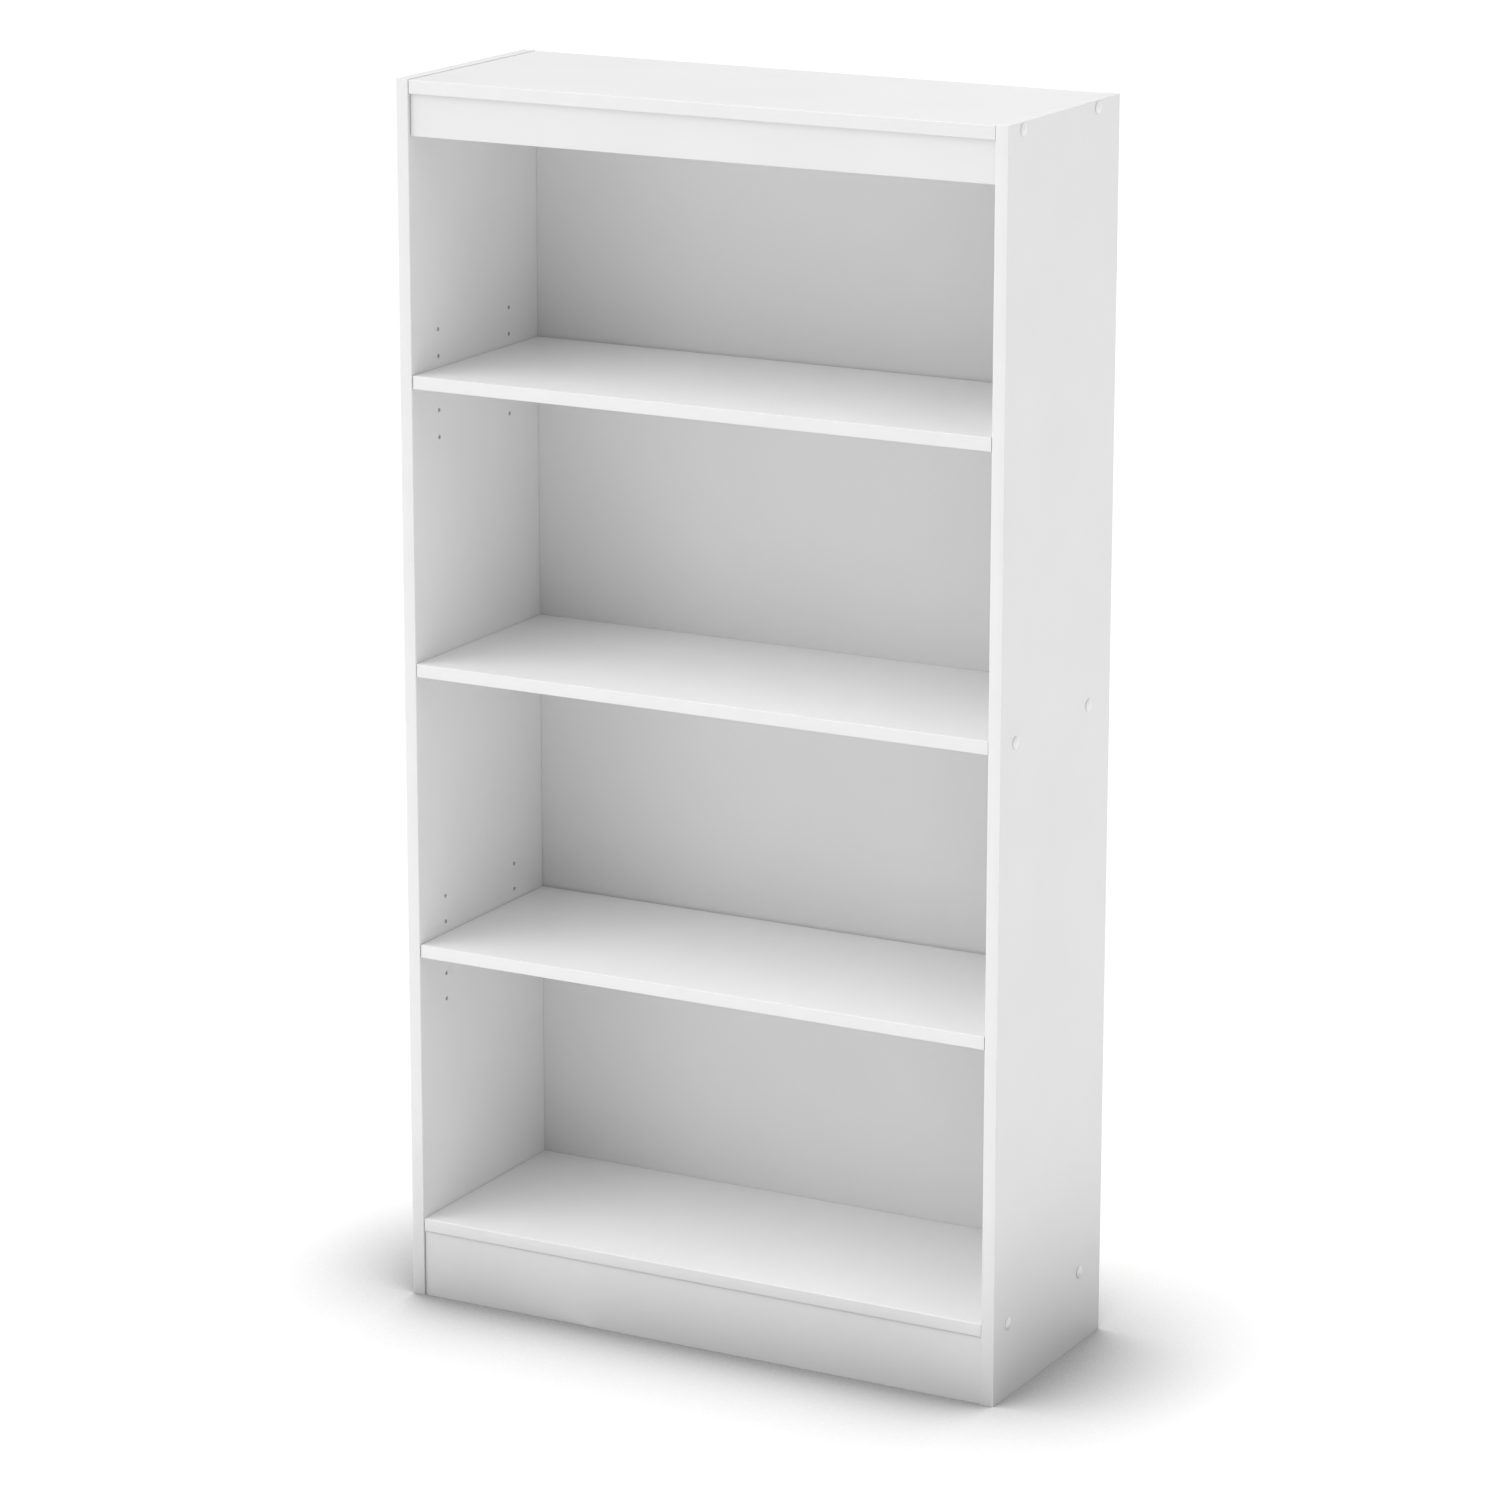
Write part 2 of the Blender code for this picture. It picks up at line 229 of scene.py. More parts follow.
def turned(name, profile, steps):
    """A profile of (radius, z), from the top on the axis down the outside, turned about Z."""
    bm = bmesh.new()
    verts = [bm.verts.new((radius, 0, z)) for radius, z in profile]
    for first, second in zip(verts, verts[1:]):
        bm.edges.new((first, second))
    item = new_object(name, mesh_from(bm, name))
    screw = item.modifiers.new("turned", "SCREW")
    screw.steps = steps
    screw.render_steps = steps
    screw.use_merge_vertices = True
    screw.merge_threshold = MERGE_DISTANCE
    settle(item)
    smooth(item)
    return item


def formed(name, levels, steps, radius_of):
    """A closed piece round Z with radius radius_of(angle, z), through its levels from top to bottom."""
    bm = bmesh.new()
    rings = []
    for z in levels:
        angles = [2 * math.pi * step / steps for step in range(steps)]
        rings.append([
            bm.verts.new((*(radius_of(angle, z) * Vector((math.cos(angle), math.sin(angle)))), z))
            for angle in angles])
    for upper, lower in zip(rings, rings[1:]):
        for step in range(steps):
            after = (step + 1) % steps
            bm.faces.new((upper[step], lower[step], lower[after], upper[after]))
    bm.faces.new(rings[0])
    bm.faces.new(list(reversed(rings[-1])))
    item = new_object(name, mesh_from(bm, name))
    smooth(item)
    return item


def arc(centre_r, centre_z, radius, start, end, steps):
    """Profile points on a round stretch, by its angles in degrees from the +r direction."""
    points = []
    for step in range(steps + 1):
        angle = math.radians(start + (end - start) * step / steps)
        points.append((centre_r + radius * math.cos(angle), centre_z + radius * math.sin(angle)))
    return points


def radius_along(profile, z):
    """The radius of a profile of (radius, z), from top to bottom, at a height."""
    for (upper_radius, upper_z), (lower_radius, lower_z) in zip(profile, profile[1:]):
        if z >= lower_z:
            share = (upper_z - z) / (upper_z - lower_z)
            return upper_radius + (lower_radius - upper_radius) * share
    return profile[-1][0]


def gathered(name, sources):
    """One object from (object, matrix) pairs: a copy of each object's mesh at its matrix."""
    bm = bmesh.new()
    for source, matrix in sources:
        start = len(bm.verts)
        bm.from_mesh(source.data)
        bm.verts.ensure_lookup_table()
        for vert in bm.verts[start:]:
            vert.co = matrix @ vert.co
    bm.normal_update()
    return new_object(name, mesh_from(bm, name))


def discard(*items):
    for item in items:
        bpy.data.objects.remove(item, do_unlink=True)


def cut(item, cutter):
    modifier = item.modifiers.new("cut", "BOOLEAN")
    modifier.operation = "DIFFERENCE"
    modifier.solver = "EXACT"
    modifier.object = cutter
    settle(item)
    discard(cutter)


# Places in the frame

def centre_of(node):
    low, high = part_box(node)
    return (low + high) / 2


def size_of(node):
    low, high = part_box(node)
    return high - low


def nodes_named(start, but_not=None):
    names = sorted(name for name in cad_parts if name.startswith(start))
    return [name for name in names if not (but_not and name.startswith(but_not))]


def side_sign(node):
    return 1 if centre_of(node).x > 0 else -1


def outward(sign):
    """Turns +Z, the top of a piece, to point out of the case on the side with that sign."""
    return Matrix.Rotation(sign * math.pi / 2, 4, "Y")


def facing_out(point, sign):
    return Matrix.Translation(point) @ outward(sign)


def outer_end(node):
    """The point on a sideways piece's axis at its end nearer the outside."""
    low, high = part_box(node)
    middle = centre_of(node)
    return Vector((high.x if side_sign(node) > 0 else low.x, middle.y, middle.z))


PINS = nodes_named("shelf_pin_")
CAPS = nodes_named("screw_cap_")
SCREWS = nodes_named("screw_", but_not="screw_cap_")
DOWELS = nodes_named("dowel_")


# Materials

def seen_or_lit_by(tree, seen, light):
    """A shader that the camera sees as one thing, and that lights the object as another."""
    choice = tree.nodes.new("ShaderNodeMixShader")
    is_seen, for_light, for_camera = choice.inputs
    tree.links.new(tree.nodes.new("ShaderNodeLightPath").outputs["Is Camera Ray"], is_seen)
    tree.links.new(light, for_light)
    tree.links.new(seen, for_camera)
    return choice.outputs["Shader"]


class Nodes:
    """A short way to add and join shader nodes in one material."""

    def __init__(self, name):
        self.material = bpy.data.materials.new(name)
        self.material.use_nodes = True
        self.tree = self.material.node_tree
        self.shader = self.tree.nodes["Principled BSDF"]
        self.place = self.add("ShaderNodeTexCoord").outputs["Object"]

    def add(self, kind, **values):
        node = self.tree.nodes.new(kind)
        for key, value in values.items():
            setattr(node, key, value)
        return node

    def join(self, output, socket):
        self.tree.links.new(output, socket)

    def stretched(self, scale):
        """The object coordinates, scaled along each axis."""
        mapping = self.add("ShaderNodeMapping")
        mapping.inputs["Scale"].default_value = scale
        self.join(self.place, mapping.inputs["Vector"])
        return mapping.outputs["Vector"]

    def noise(self, scale, detail=2.0, roughness=0.5, vector=None):
        node = self.add("ShaderNodeTexNoise")
        node.inputs["Scale"].default_value = scale
        node.inputs["Detail"].default_value = detail
        node.inputs["Roughness"].default_value = roughness
        self.join(vector or self.place, node.inputs["Vector"])
        return node.outputs["Fac"]

    def ramp(self, value, stops):
        """A colour ramp of (position, colour) stops."""
        node = self.add("ShaderNodeValToRGB")
        elements = node.color_ramp.elements
        while len(elements) < len(stops):
            elements.new(0.5)
        for element, (position, colour) in zip(elements, stops):
            element.position = position
            element.color = (*colour, 1.0)
        self.join(value, node.inputs["Fac"])
        return node.outputs["Color"]

    def shades(self, value, stops):
        """A ramp of greys, from (position, level) stops."""
        return self.ramp(value, [(position, (level,) * 3) for position, level in stops])

    def greys(self, value, low, high):
        """A grey between two levels, for the middle of a noise's range."""
        return self.shades(value, [(0.3, low), (0.7, high)])

    def openness(self, reach, samples):
        """How much of the sky over a point is free of anything nearer than reach."""
        node = self.add("ShaderNodeAmbientOcclusion", samples=samples)
        node.inputs["Distance"].default_value = reach
        return node.outputs["AO"]

    def spread(self, value, low, high):
        """Maps a 0 to 1 value onto low to high."""
        node = self.add("ShaderNodeMapRange")
        node.inputs["To Min"].default_value = low
        node.inputs["To Max"].default_value = high
        self.join(value, node.inputs["Value"])
        return node.outputs["Result"]

    def mix(self, factor, first, second, blend):
        node = self.add("ShaderNodeMix", data_type="RGBA", blend_type=blend)
        node.inputs["Factor"].default_value = factor
        self.join(first, node.inputs[MIX_FIRST])
        self.join(second, node.inputs[MIX_SECOND])
        return node.outputs[MIX_RESULT]

    def bump(self, height, strength, distance):
        node = self.add("ShaderNodeBump")
        node.inputs["Strength"].default_value = strength
        node.inputs["Distance"].default_value = distance
        self.join(height, node.inputs["Height"])
        return node.outputs["Normal"]

    def surface(self, colour, roughness, normal, **constants):
        self.join(colour, self.shader.inputs["Base Color"])
        self.join(roughness, self.shader.inputs["Roughness"])
        self.join(normal, self.shader.inputs["Normal"])
        for socket, value in constants.items():
            self.shader.inputs[socket.replace("_", " ")].default_value = value
        return self.material


def laminate():
    """White melamine paper pressed with a fine pearl: a soft sheen over very small bumps."""
    n = Nodes("white_laminate")
    colour = n.ramp(n.noise(9.0, 3.0), [(0.3, (0.692, 0.692, 0.694)), (0.7, (0.708, 0.708, 0.710))])
    roughness = n.spread(n.noise(1400.0), 0.38, 0.54)
    pearl = n.bump(n.noise(1900.0), 0.10, 0.05 * MM)
    return n.surface(colour, roughness, pearl)


def edge_band():
    """White plastic edging, smoother than the laminate, with a slight orange peel."""
    n = Nodes("white_edge_band")
    colour = n.ramp(n.noise(30.0), [(0.3, (0.706, 0.706, 0.708)), (0.7, (0.720, 0.720, 0.721))])
    roughness = n.spread(n.noise(500.0, 3.0), 0.36, 0.48)
    peel = n.bump(n.noise(700.0), 0.06, 0.05 * MM)
    return n.surface(colour, roughness, peel)


def chipboard():
    """Sawn particleboard: pale and dark chips in all directions, open between them."""
    n = Nodes("particleboard")
    chips = n.add("ShaderNodeTexVoronoi")
    chips.inputs["Scale"].default_value = 620.0
    n.join(n.stretched((0.6, 0.6, 1.4)), chips.inputs["Vector"])
    tone = n.noise(420.0, 4.0, 0.65)
    base = n.ramp(
        tone, [(0.25, (0.19, 0.115, 0.055)), (0.5, (0.42, 0.29, 0.165)), (0.75, (0.60, 0.46, 0.29))])
    colour = n.mix(0.35, base, chips.outputs["Color"], "SOFT_LIGHT")
    return n.surface(colour, n.spread(tone, 0.75, 0.95), n.bump(tone, 0.5, 0.25 * MM))


def painted_hardboard():
    """The back's inner face: white paint over smooth hardboard, with a slight orange peel."""
    n = Nodes("white_painted_hardboard")
    colour = n.ramp(n.noise(6.0, 3.0), [(0.3, (0.658, 0.658, 0.661)), (0.7, (0.674, 0.674, 0.677))])
    roughness = n.spread(n.noise(300.0, 3.0), 0.48, 0.62)
    return n.surface(colour, roughness, n.bump(n.noise(420.0), 0.08, 0.08 * MM))


def raw_hardboard():
    """The back's outer face: brown pressed fibre, mottled, with fine stray fibres."""
    n = Nodes("brown_hardboard")
    mottle = n.noise(14.0, 5.0, 0.6)
    fibre = n.noise(900.0, 3.0, 0.7, n.stretched((1.0, 1.0, 0.25)))
    broad = n.ramp(mottle, [(0.3, (0.235, 0.140, 0.075)), (0.7, (0.315, 0.200, 0.112))])
    colour = n.mix(0.5, broad, n.greys(fibre, 0.35, 0.65), "SOFT_LIGHT")
    return n.surface(colour, n.spread(fibre, 0.62, 0.85), n.bump(fibre, 0.35, 0.08 * MM))


def zinc():
    """Zinc plate: bright, slightly cloudy, and a little blue."""
    n = Nodes("zinc_plated_steel")
    cloud = n.noise(350.0, 4.0, 0.6)
    colour = n.ramp(cloud, [(0.3, (0.53, 0.55, 0.57)), (0.7, (0.68, 0.69, 0.68))])
    grain = n.bump(n.noise(2500.0), 0.08, 0.02 * MM)
    return n.surface(colour, n.spread(cloud, 0.22, 0.42), grain, Metallic=1.0)


def nickel():
    """Nickel plate over a cropped and tumbled steel pin."""
    n = Nodes("nickel_plated_steel")
    cloud = n.noise(700.0, 3.0, 0.6)
    colour = n.ramp(cloud, [(0.3, (0.60, 0.58, 0.54)), (0.7, (0.72, 0.70, 0.66))])
    grain = n.bump(n.noise(3000.0), 0.06, 0.02 * MM)
    return n.surface(colour, n.spread(cloud, 0.18, 0.34), grain, Metallic=1.0)


def cap_plastic():
    """Moulded white plastic with a fine spark-eroded grain."""
    n = Nodes("white_cap_plastic")
    colour = n.ramp(n.noise(200.0), [(0.3, (0.735, 0.735, 0.734)), (0.7, (0.755, 0.755, 0.753))])
    grain = n.bump(n.noise(2200.0), 0.08, 0.04 * MM)
    return n.surface(colour, n.spread(n.noise(900.0), 0.24, 0.36), grain)


def beech():
    """Beech dowel: straight grain along X, with fine dark flecks."""
    n = Nodes("beech")
    grain = n.noise(900.0, 4.0, 0.6, n.stretched((0.05, 1.0, 1.0)))
    colour = n.ramp(grain, [(0.3, (0.42, 0.26, 0.14)), (0.55, (0.60, 0.41, 0.24)), (0.8, (0.68, 0.50, 0.32))])
    return n.surface(colour, n.spread(grain, 0.5, 0.7), n.bump(grain, 0.3, 0.08 * MM))


def lit_table():
    """A plain white table lit from below, with a painted shadow under what stands on it; it glows onto the
    object, and that glow has painted shade near the object.
    """
    n = Nodes("studio_floor")
    # Painted shadow: the table's colour and glow are darkened where little of the sky over it is free.
    painted_shadow = n.shades(n.openness(AMBIENT_REACH, PAINTED_SHADOW_SAMPLES), PAINTED_SHADOW_STOPS)
    paper = n.noise(3.0)
    n.join(painted_shadow, n.shader.inputs["Emission Color"])
    colour = n.mix(1.0, n.greys(paper, *TABLE_GREYS), painted_shadow, "MULTIPLY")
    grain = n.bump(n.noise(900.0), 0.1, 0.1 * MM)
    n.surface(colour, n.spread(paper, 0.85, 0.95), grain, Emission_Strength=TABLE_GLOW)
    glow = n.add("ShaderNodeEmission")
    glow.inputs["Strength"].default_value = TABLE_BOUNCE
    # Painted shade: the glow the table sheds onto the object is darkened where something stands near it.
    painted_bounce_shade = n.shades(n.openness(BOUNCE_REACH, BOUNCE_SAMPLES), PAINTED_BOUNCE_SHADE_STOPS)
    n.join(painted_bounce_shade, glow.inputs["Color"])
    table = seen_or_lit_by(n.tree, n.shader.outputs["BSDF"], glow.outputs["Emission"])
    n.join(table, n.tree.nodes["Material Output"].inputs["Surface"])
    return n.material


LAMINATE = laminate()
EDGE_BAND = edge_band()
CHIPBOARD = chipboard()
PAINTED = painted_hardboard()
RAW_HARDBOARD = raw_hardboard()
ZINC = zinc()
NICKEL = nickel()
CAP_PLASTIC = cap_plastic()
BEECH = beech()


# Boards

# Each board: its body, the axis of its thickness, and its banded edges.
BOARDS = {
    "left_side": ("case", 0, ("front", "top")),
    "right_side": ("case", 0, ("front", "top")),
    "top_panel": ("case", 2, ("front",)),
    "middle_shelf": ("case", 2, ("front",)),
    "bottom_panel": ("case", 2, ("front",)),
    "upper_shelf": ("upper_shelf_body", 2, ("front",)),
    "lower_shelf": ("lower_shelf_body", 2, ("front",)),
    "top_rail": ("case", 1, ("bottom",)),
    "kick_plate": ("case", 1, ("top",)),
}
# Each edge: its axis and which way it faces, then its band's thickness and rounding.
EDGES = {
    "front": (1, -1, FRONT_BAND, FRONT_BAND_RADIUS),
    "top": (2, 1, THIN_BAND, THIN_BAND_RADIUS),
    "bottom": (2, -1, THIN_BAND, THIN_BAND_RADIUS),
}


def lies_on(edge, axis, level):
    return all(abs(vert.co[axis] - level) < TOLERANCE for vert in edge.verts)


def box_of_board(board):
    """A board's box. One fixed between the sides has its ends drawn in, so that its seams show as lines."""
    low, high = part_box(board)
    low = low.copy()
    high = high.copy()
    body, thin, _ = BOARDS[board]
    if body == "case" and thin != 0:
        low.x += SEAM_WIDENING
        high.x -= SEAM_WIDENING
    return low, high


def core_of(board, bands):
    """The board without its bands, its free edges broken and its glued ones nearly sharp."""
    low, high = box_of_board(board)
    glued = []
    for band in bands:
        axis, sign, thickness, _ = EDGES[band]
        end = high if sign > 0 else low
        end[axis] -= sign * thickness
        glued.append((axis, end[axis]))

    def radius_of(edge):
        return GLUED_EDGE if any(lies_on(edge, *face) for face in glued) else BROKEN_EDGE

    return rounded_box(board + "_board", low, high, radius_of, BROKEN_EDGE, BROKEN_SEGMENTS), low, high


def band_of(board, band, bands):
    """A strip glued along one edge of a board, its outer edges rounded."""
    axis, sign, thickness, radius = EDGES[band]
    low, high = box_of_board(board)
    outer = high[axis] if sign > 0 else low[axis]
    end = low if sign > 0 else high
    end[axis] = outer - sign * thickness
    if band == "top" and "front" in bands:
        low.y += FRONT_BAND
    length_axis = max((0, 1, 2), key=lambda axis: high[axis] - low[axis])

    def radius_of(edge):
        first, second = (vert.co[length_axis] for vert in edge.verts)
        if not lies_on(edge, axis, outer):
            return GLUED_EDGE
        return radius if first != second else BROKEN_EDGE

    item = rounded_box(f"{board}_{band}_band", low, high, radius_of, radius, BAND_SEGMENTS)
    smooth(item, BAND_SHARP_ANGLE)
    set_materials(item, EDGE_BAND)
    return item


def drill_bit(name, radius, depth, mouth=0.0):
    """A cutter that enters a face at z 0 from above, as deep as depth, flared by mouth at the face."""
    profile = [
        (0, DRILL_OVERRUN),
        (radius + mouth + (DRILL_OVERRUN if mouth else 0), DRILL_OVERRUN),
        (radius, -mouth),
        (radius, -depth),
        (0, -depth),
    ]
    return turned(name, profile, HOLE_STEPS)


def pin_hole_places(side):
    """The rows of shelf-pin holes in a side: the pin's own hole and those above and below it."""
    sign = side_sign(side)
    low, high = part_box(side)
    inner = low.x if sign > 0 else high.x
    places = []
    for node in PINS:
        if side_sign(node) == sign:
            middle = centre_of(node)
            for step in range(-HOLES_EACH_WAY, HOLES_EACH_WAY + 1):
                point = Vector((inner, middle.y, middle.z + step * PITCH))
                places.append(facing_out(point, -sign))
    return places


def head_hole_places(side):
    sign = side_sign(side)
    low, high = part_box(side)
    outer = high.x if sign > 0 else low.x
    return [
        facing_out(Vector((outer, centre_of(node).y, centre_of(node).z)), sign)
        for node in SCREWS if side_sign(node) == sign]


def passing_places(board, nodes):
    """Where fasteners pass through a board or end in it, each from its own outer end."""
    low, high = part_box(board)
    places = []
    for node in nodes:
        node_low, node_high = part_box(node)
        if all(node_low[axis] < high[axis] and node_high[axis] > low[axis] for axis in range(3)):
            sign = side_sign(node)
            start = outer_end(node) + Vector((sign * (HOLE_END_GAP - DRILL_OVERRUN), 0, 0))
            places.append(facing_out(start, sign))
    return places


def drill(core, board, pin_holes):
    """Drills a board for the pins, screws and dowels that belong in it."""
    screw_depth = size_of(SCREWS[0]).x + 2 * HOLE_END_GAP - DRILL_OVERRUN
    dowel_depth = size_of(DOWELS[0]).x + 2 * HOLE_END_GAP - DRILL_OVERRUN
    screw_bit = drill_bit("screw_bit", SCREW_HOLE_RADIUS, screw_depth)
    dowel_bit = drill_bit("dowel_bit", DOWEL_HOLE_RADIUS, dowel_depth)
    pin_bit = drill_bit("pin_bit", PIN_HOLE_RADIUS, PIN_HOLE_DEPTH, PIN_HOLE_MOUTH)
    head_bit = drill_bit("head_bit", HEAD_HOLE_RADIUS, HEAD_HOLE_DEPTH)
    drills = [(screw_bit, place) for place in passing_places(board, SCREWS)]
    drills += [(dowel_bit, place) for place in passing_places(board, DOWELS)]
    drills += [(pin_bit, place) for place in pin_holes]
    if drills:
        cut(core, gathered("drills", drills))
    if board in SIDES:
        cut(core, gathered("head_drills", [(head_bit, place) for place in head_hole_places(board)]))
    discard(screw_bit, dowel_bit, pin_bit, head_bit)


def laminate_faces(core, low, high, thin, pin_holes):
    """White on the two broad faces, the ends and in the pin holes, chipboard on the other edges and holes."""
    set_materials(core, LAMINATE, CHIPBOARD)
    into_holes = [place.inverted() for place in pin_holes]
    for face in core.data.polygons:
        faced = any((into @ face.center).xy.length < PIN_HOLE_RADIUS for into in into_holes)
        for axis in {thin, 0}:
            depth = min(abs(face.center[axis] - low[axis]), abs(face.center[axis] - high[axis]))
            faced = faced or (depth < BROKEN_EDGE and abs(face.normal[axis]) > FACING)
        face.material_index = 0 if faced else 1


def build_board(board, body, thin, bands):
    core, low, high = core_of(board, bands)
    pin_holes = pin_hole_places(board) if board in SIDES else []
    drill(core, board, pin_holes)
    laminate_faces(core, low, high, thin, pin_holes)
    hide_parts(board)
    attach(core, body)
    for band in bands:
        strip = band_of(board, band, bands)
        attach(strip, body)


# Back panel

def build_back():
    """The hardboard sheet, white inside and brown outside. Returns the level of its outer face."""
    low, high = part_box("back_panel")
    high = high.copy()
    high.y -= NAIL_HEAD_PROUD
    item = rounded_box("back_panel_sheet", low, high, lambda edge: GLUED_EDGE, GLUED_EDGE, 1)
    set_materials(item, PAINTED, RAW_HARDBOARD)
    for face in item.data.polygons:
        face.material_index = 0 if face.normal.y < -FACING else 1
    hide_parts("back_panel")
    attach(item, "case")
    return high.y


def nail_places():
    """Points (x, z) along the rear edges of the sides and the fixed boards, evenly spaced."""
    low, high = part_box("back_panel")
    length = high.z - low.z - 2 * NAIL_END_MARGIN
    count = round(length / NAIL_SPACING)
    heights = [low.z + NAIL_END_MARGIN + step * length / count for step in range(count + 1)]
    places = [(centre_of(side).x, z) for side in SIDES for z in heights]
    reach = high.x - NAIL_BOARD_MARGIN
    count = round(2 * reach / NAIL_SPACING)
    for board in ("top_panel", "middle_shelf", "bottom_panel"):
        z = centre_of(board).z
        places += [(-reach + (step + 0.5) * 2 * reach / count, z) for step in range(count)]
    return places


def build_nails(outside):
    """Small flat-headed nails through the back, their heads standing just proud of it."""
    top = NAIL_HEAD_PROUD
    edge = NAIL_HEAD_EDGE
    profile = [(0, top), (NAIL_HEAD_RADIUS - 2 * edge, top)]
    profile += arc(NAIL_HEAD_RADIUS - edge, top - edge, edge, 80, 0, NAIL_ARC_STEPS)
    profile += [
        (NAIL_HEAD_RADIUS, 0),
        (NAIL_SHANK_RADIUS, -2 * edge),
        (NAIL_SHANK_RADIUS, NAIL_POINT - NAIL_LENGTH),
        (0, -NAIL_LENGTH),
    ]
    nail = turned("nail", profile, NAIL_STEPS)
    facing_back = Matrix.Rotation(-math.pi / 2, 4, "X")
    places = [Matrix.Translation((x, outside, z)) @ facing_back for x, z in nail_places()]
    item = gathered("back_nails", [(nail, place) for place in places])
    discard(nail)
    smooth(item)
    set_materials(item, ZINC)
    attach(item, "case")


# Fasteners

def stand_for_each(source, nodes, body_of, material):
    """Puts a copy of a piece, made with its outer end at the origin, in place of each of its CAD nodes."""
    set_materials(source, material)
    for node in nodes:
        item = new_object(node + "_piece", source.data.copy())
        item.matrix_world = facing_out(outer_end(node), side_sign(node))
        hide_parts(node)
        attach(item, body_of(node))
    discard(source)


def in_case(node):
    return "case"


def build_pins():
    """Plain steel pins with tumbled ends, each on its own body."""
    size = size_of(PINS[0])
    radius = size.y / 2
    flat = radius - PIN_ROUNDING
    profile = [(0, 0)]
    profile += arc(flat, -PIN_ROUNDING, PIN_ROUNDING, 90, 0, PIN_ARC_STEPS)
    profile += arc(flat, PIN_ROUNDING - size.x, PIN_ROUNDING, 0, -90, PIN_ARC_STEPS)
    profile += [(0, -size.x)]
    pin = turned("pin", profile, PIN_STEPS)
    stand_for_each(pin, PINS, lambda node: node + "_body", NICKEL)


def build_caps():
    """Domed covers with a thin hollow underneath and a stem that presses into the screw's socket."""
    size = size_of(CAPS[0])
    radius = size.y / 2
    foot = CAP_STEM_LENGTH - size.x
    crown = -foot - CAP_RIM
    dome_radius = (radius ** 2 + crown ** 2) / (2 * crown)
    edge_angle = math.degrees(math.asin(radius / dome_radius))
    profile = [(0, 0)]
    profile += arc(0, -dome_radius, dome_radius, 90, 90 - edge_angle, CAP_ARC_STEPS)[1:]
    profile += [
        (radius, foot),
        (radius - CAP_WALL, foot),
        (radius - CAP_WALL, foot + CAP_HOLLOW),
        (CAP_STEM_RADIUS, foot + CAP_HOLLOW),
        (CAP_STEM_RADIUS, CAP_STEM_CHAMFER - size.x),
        (CAP_STEM_RADIUS - CAP_STEM_CHAMFER, -size.x),
        (0, -size.x),
    ]
    stand_for_each(turned("cap", profile, CAP_STEPS), CAPS, in_case, CAP_PLASTIC)


def build_screws():
    """Flat-headed board screws: a hexagon socket, a plain shank, and a coarse thread with a fine crest."""
    length = size_of(SCREWS[0]).x
    head_radius = size_of(SCREWS[0]).y / 2
    thread_top = -SCREW_HEAD_LENGTH - SCREW_SHANK
    shape = [
        (head_radius - SCREW_HEAD_EDGE, 0),
        (head_radius, -SCREW_HEAD_EDGE),
        (head_radius, -SCREW_HEAD_RIM),
        (SCREW_RADIUS, -SCREW_HEAD_LENGTH),
        (SCREW_RADIUS, thread_top),
        (SCREW_CORE_RADIUS, thread_top - THREAD_PITCH / 2),
        (SCREW_CORE_RADIUS, SCREW_TIP - length),
        (SCREW_CORE_RADIUS / 2, -length),
    ]
    turns = (length + thread_top) / THREAD_PITCH
    count = round(turns * LEVELS_PER_TURN)
    levels = [z for _, z in shape if z >= thread_top]
    levels += [thread_top - (length + thread_top) * step / count for step in range(1, count + 1)]

    def radius_of(angle, z):
        plain = radius_along(shape, z)
        if z >= thread_top:
            return plain
        phase = (-z / THREAD_PITCH - angle / (2 * math.pi)) % 1.0
        crest = max(0.0, 1 - abs(2 * phase - 1) / THREAD_TOOTH_SHARE)
        fade = min(1.0, (z + length) / SCREW_TIP)
        return plain + (SCREW_RADIUS - plain) * crest * fade

    screw = formed("screw", levels, SCREW_STEPS, radius_of)
    bm = bmesh.new()
    corner = SOCKET_ACROSS_FLATS / math.sqrt(3)
    bmesh.ops.create_cone(
        bm, cap_ends=True, segments=6, radius1=corner, radius2=corner, depth=2 * SOCKET_DEPTH)
    cut(screw, new_object("socket", mesh_from(bm, "socket")))
    smooth(screw)
    stand_for_each(screw, SCREWS, in_case, ZINC)


def build_dowels():
    """Fluted beech dowels with chamfered ends."""
    size = size_of(DOWELS[0])
    radius = size.y / 2
    shape = [
        (radius - DOWEL_CHAMFER, 0),
        (radius, -DOWEL_CHAMFER),
        (radius, DOWEL_CHAMFER - size.x),
        (radius - DOWEL_CHAMFER, -size.x),
    ]

    def radius_of(angle, z):
        flute = math.sin(DOWEL_FLUTES * angle / 2) ** 4
        return min(radius_along(shape, z), radius - DOWEL_FLUTE_DEPTH * flute)

    dowel = formed("dowel", [z for _, z in shape], DOWEL_FLUTES * STEPS_PER_FLUTE, radius_of)
    stand_for_each(dowel, DOWELS, in_case, BEECH)


# Studio

def build_floor():
    bm = bmesh.new()
    bmesh.ops.create_grid(bm, x_segments=1, y_segments=1, size=TABLE_HALF_SIZE)
    floor = new_object("studio_floor", mesh_from(bm, "studio_floor"))
    set_materials(floor, lit_table())


def towards(azimuth, elevation):
    """The direction of a point seen from the object, for azimuth 0 in front and 90 on the right."""
    turn = math.radians(azimuth)
    lift = math.radians(elevation)
    return Vector((math.sin(turn) * math.cos(lift), -math.cos(turn) * math.cos(lift), math.sin(lift)))


def add_ambient_light(world):
    """A weak light from all sides that only reaches points with nothing near them."""
    bpy.context.scene.cycles.use_fast_gi = True
    bpy.context.scene.cycles.fast_gi_method = "ADD"
    world.light_settings.ao_factor = AMBIENT_LIGHT
    world.light_settings.distance = AMBIENT_REACH


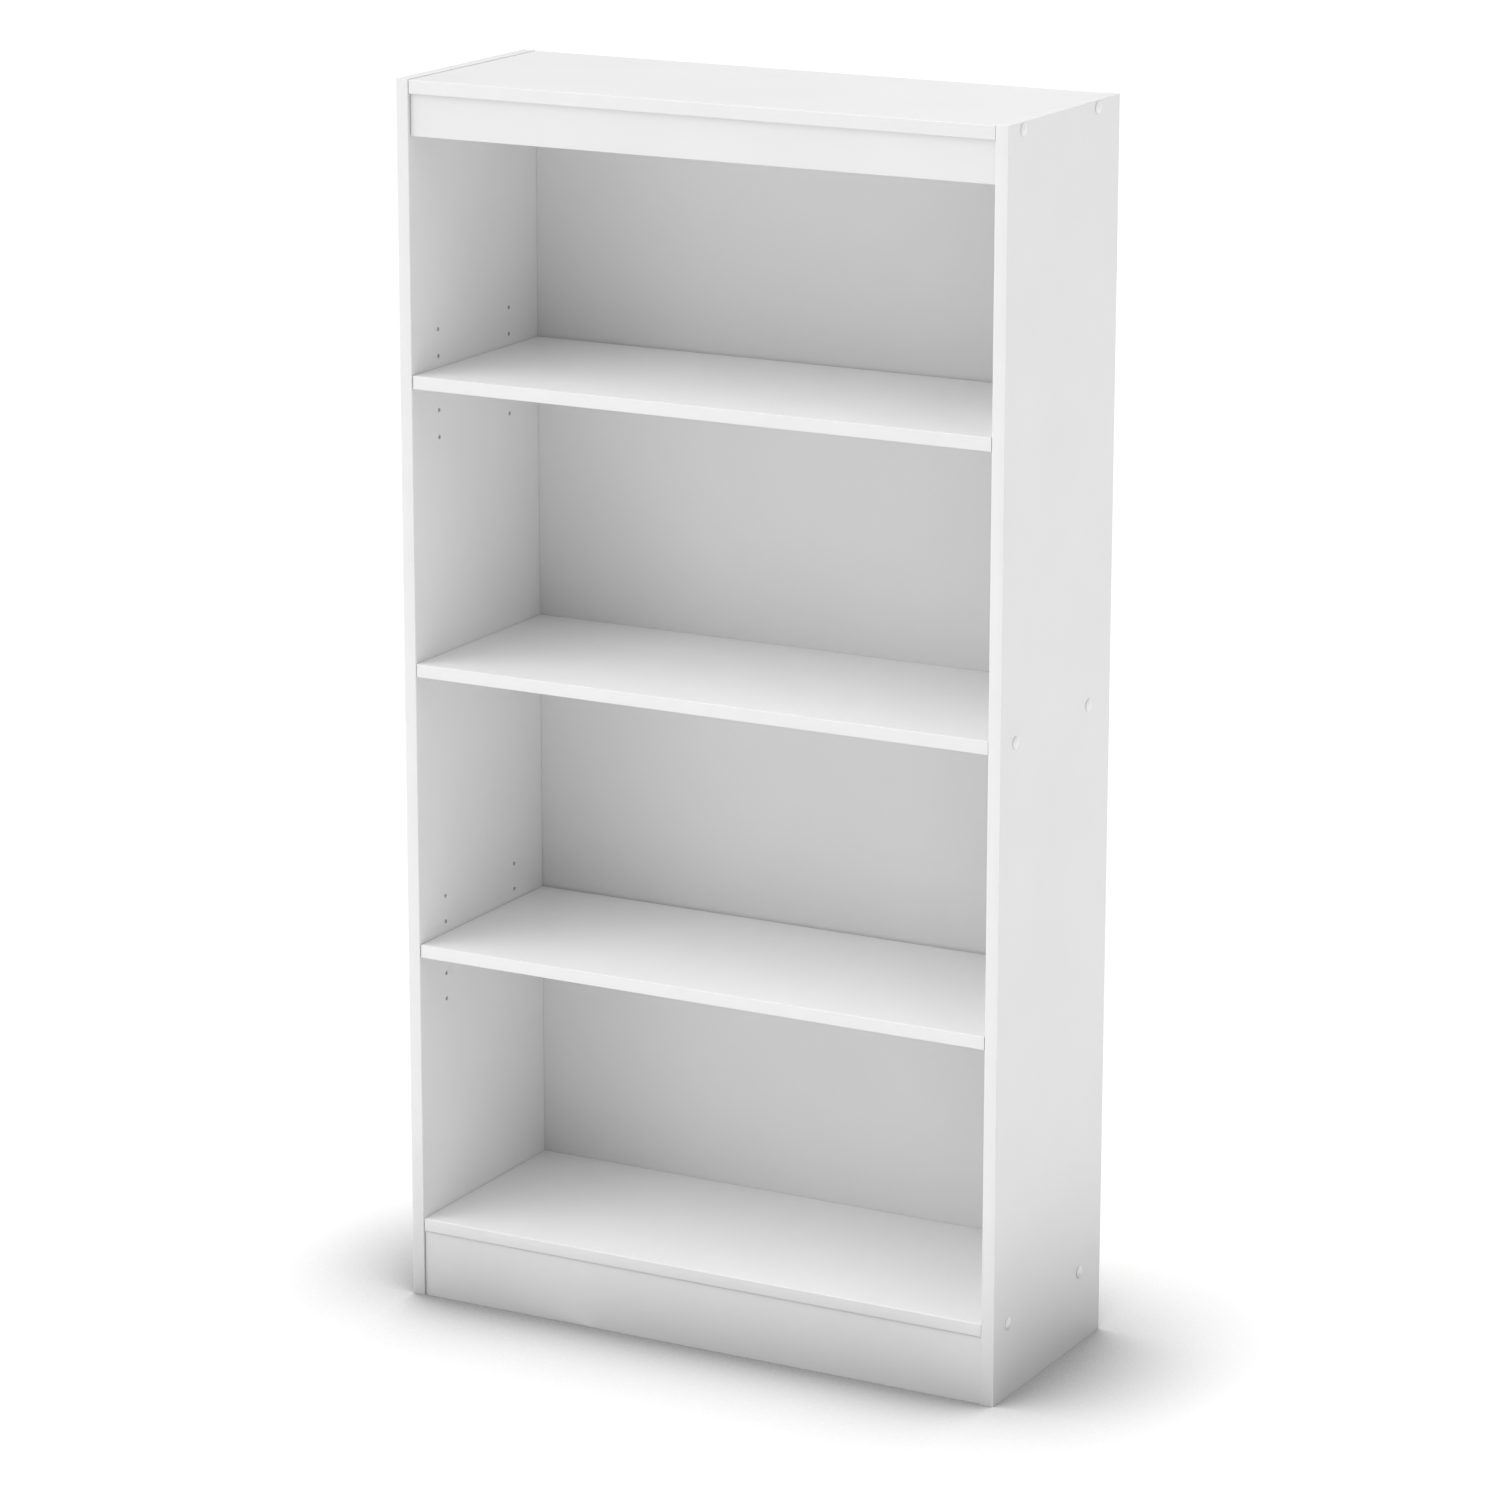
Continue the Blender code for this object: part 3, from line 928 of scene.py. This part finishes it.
def build_dome():
    """Lights the studio with soft round lights on a dome, which the camera sees as plain white."""
    world = bpy.data.worlds.new("studio")
    bpy.context.scene.world = world
    add_ambient_light(world)
    world.use_nodes = True
    tree = world.node_tree
    direction = tree.nodes.new("ShaderNodeTexCoord").outputs["Generated"]

    def calculate(operation, first, second):
        node = tree.nodes.new("ShaderNodeMath")
        node.operation = operation
        for value, socket in ((first, node.inputs[0]), (second, node.inputs[1])):
            if isinstance(value, (int, float)):
                socket.default_value = value
            else:
                tree.links.new(value, socket)
        return node.outputs[0]

    total = 0.0
    for azimuth, elevation, strength in DOME_LIGHTS:
        facing = tree.nodes.new("ShaderNodeVectorMath")
        facing.operation = "DOT_PRODUCT"
        facing.inputs[1].default_value = towards(azimuth, elevation)
        tree.links.new(direction, facing.inputs[0])
        lobe = calculate("POWER", calculate("MAXIMUM", facing.outputs["Value"], 0.0), DOME_FOCUS)
        total = calculate("ADD", total, calculate("MULTIPLY", lobe, strength))
    light = tree.nodes["Background"]
    tree.links.new(total, light.inputs["Strength"])
    light.inputs["Color"].default_value = (1, 1, 1, 1)
    backdrop = tree.nodes.new("ShaderNodeBackground")
    backdrop.inputs["Color"].default_value = (1, 1, 1, 1)
    backdrop.inputs["Strength"].default_value = BACKDROP_STRENGTH
    studio = seen_or_lit_by(tree, backdrop.outputs["Background"], light.outputs["Background"])
    tree.links.new(studio, tree.nodes["World Output"].inputs["Surface"])


def place_camera():
    data = bpy.data.cameras.new("camera")
    data.lens = CAMERA_LENS
    data.shift_y = CAMERA_SHIFT_Y
    data.clip_end = CAMERA_CLIP_END
    camera = new_object("camera", data)
    back = towards(CAMERA_AZIMUTH, CAMERA_ELEVATION)
    aim = (-back).to_track_quat("-Z", "Y").to_matrix().to_4x4()
    roll = Matrix.Rotation(math.radians(CAMERA_ROLL), 4, "Z")
    camera.matrix_world = Matrix.Translation(Vector(CAMERA_TARGET) + back * CAMERA_DISTANCE) @ aim @ roll
    bpy.context.scene.camera = camera


place_camera()
for board_name, (body_name, thin_axis, banded) in BOARDS.items():
    build_board(board_name, body_name, thin_axis, banded)
build_nails(build_back())
build_pins()
build_caps()
build_screws()
build_dowels()
build_floor()
build_dome()
bpy.context.scene.view_settings.view_transform = "Standard"
